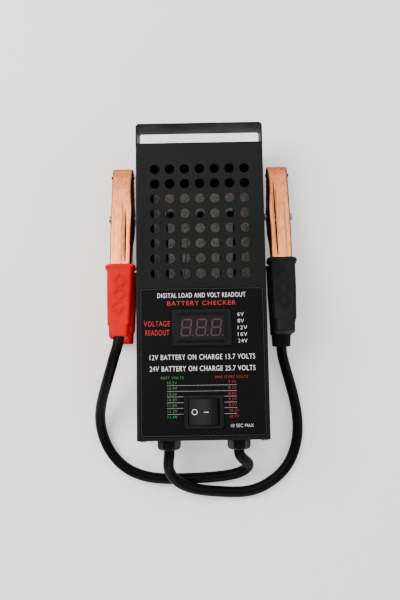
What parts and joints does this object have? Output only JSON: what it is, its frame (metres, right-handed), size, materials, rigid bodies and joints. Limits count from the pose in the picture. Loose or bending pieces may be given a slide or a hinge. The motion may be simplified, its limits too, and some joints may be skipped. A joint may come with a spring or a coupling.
{
  "type": "battery load tester",
  "caption": "Black steel-cased battery load tester with a hole grille, digital meter, rocker switch, folded handle and heavy leads ending in red and black spring clamps.",
  "frame": {"origin": "centre of the case and its glands in plan, on the surface that the back of the case lies on", "axes": "+Z out of the front panel, +Y towards the handle, +X to the right as the panel is read"},
  "size_m": [0.178, 0.3142, 0.0661],
  "materials": {
    "painted_case": "satin black powder coat on folded sheet steel",
    "label_film": "gloss printed polycarbonate overlay",
    "black_plastic": "moulded black plastic",
    "gland_plastic": "moulded black nylon",
    "display": "dark grey display block with unlit segments",
    "board": "glass-fibre circuit board",
    "spring_steel": "zinc-plated steel",
    "black_screw": "black oxide screw",
    "brass": "plain brass",
    "element_steel": "heat-stained resistance steel",
    "mica_board": "heat-browned pressed mica board",
    "copper_plate": "copper-plated pressed steel",
    "lead_rubber": "matt black rubber jacket",
    "red_pvc": "red dipped PVC sleeve",
    "black_pvc": "black dipped PVC sleeve"
  },
  "bodies": {
    "root": {"front_cover": "painted_case", "rear_cover": "painted_case", "faceplate_label": "label_film", "meter_bezel": "black_plastic", "meter_display_block": "display", "meter_circuit_board": "board", "switch_housing": "black_plastic", "bottom_screw_left": "spring_steel", "gland_body_left": "gland_plastic", "gland_nut_left": "gland_plastic", "gland_locknut_left": "gland_plastic", "inner_lead_left": "lead_rubber", "side_screw_left_1": "black_screw", "side_screw_left_2": "black_screw", "bottom_screw_right": "spring_steel", "gland_body_right": "gland_plastic", "gland_nut_right": "gland_plastic", "gland_locknut_right": "gland_plastic", "inner_lead_right": "lead_rubber", "side_screw_right_1": "black_screw", "side_screw_right_2": "black_screw", "switch_terminal_1": "brass", "load_element_1": "element_steel", "element_screw_upper_1": "spring_steel", "element_screw_lower_1": "spring_steel", "switch_terminal_2": "brass", "load_element_2": "element_steel", "element_screw_upper_2": "spring_steel", "element_screw_lower_2": "spring_steel", "switch_terminal_3": "brass", "load_element_3": "element_steel", "element_screw_upper_3": "spring_steel", "element_screw_lower_3": "spring_steel", "insulator_bar_upper": "mica_board", "bus_bar_upper": "brass", "insulator_bar_lower": "mica_board", "bus_bar_lower": "brass", "lead_positive": "lead_rubber", "clamp_positive_lead_arm": "copper_plate", "clamp_positive_lead_grip": "red_pvc", "clamp_positive_hinge_pin": "spring_steel", "clamp_positive_spring": "spring_steel", "clamp_positive_crimp": "brass", "lead_negative": "lead_rubber", "clamp_negative_lead_arm": "copper_plate", "clamp_negative_lead_grip": "black_pvc", "clamp_negative_hinge_pin": "spring_steel", "clamp_negative_spring": "spring_steel", "clamp_negative_crimp": "brass"},
    "rocker_body": {"rocker": "black_plastic", "switch_spring": "spring_steel", "switch_plunger": "brass"},
    "contact_body": {"switch_contact_arm": "brass"},
    "positive_free_jaw": {"clamp_positive_free_arm": "copper_plate", "clamp_positive_free_grip": "red_pvc"},
    "negative_free_jaw": {"clamp_negative_free_arm": "copper_plate", "clamp_negative_free_grip": "black_pvc"}
  },
  "joints": [
    {"name": "rocker_press", "type": "hinge", "parent": "root", "child": "rocker_body", "pos_m": [0.0005, -0.1022, 0.0585], "axis": [0, 1, 0], "range_deg": [0, 24], "stiffness_Nm_per_rad": 0.02, "springref_deg": -8.59},
    {"name": "contact_tilt", "type": "hinge", "parent": "root", "child": "contact_body", "pos_m": [0.0005, -0.1022, 0.0445], "axis": [0, 1, 0], "range_deg": [-12, 0]},
    {"name": "positive_clamp_squeeze", "type": "hinge", "parent": "root", "child": "positive_free_jaw", "pos_m": [-0.0686, 0.06, 0.01535], "axis": [-1, 0, 0], "range_deg": [0, 16], "stiffness_Nm_per_rad": 0.8, "springref_deg": -28.65},
    {"name": "negative_clamp_squeeze", "type": "hinge", "parent": "root", "child": "negative_free_jaw", "pos_m": [0.0686, 0.06, 0.01535], "axis": [1, 0, 0], "range_deg": [0, 16], "stiffness_Nm_per_rad": 0.8, "springref_deg": -28.65}
  ],
  "couplings": [
    {"joint": "contact_tilt", "follows": "rocker_press", "ratio": -0.5}
  ]
}
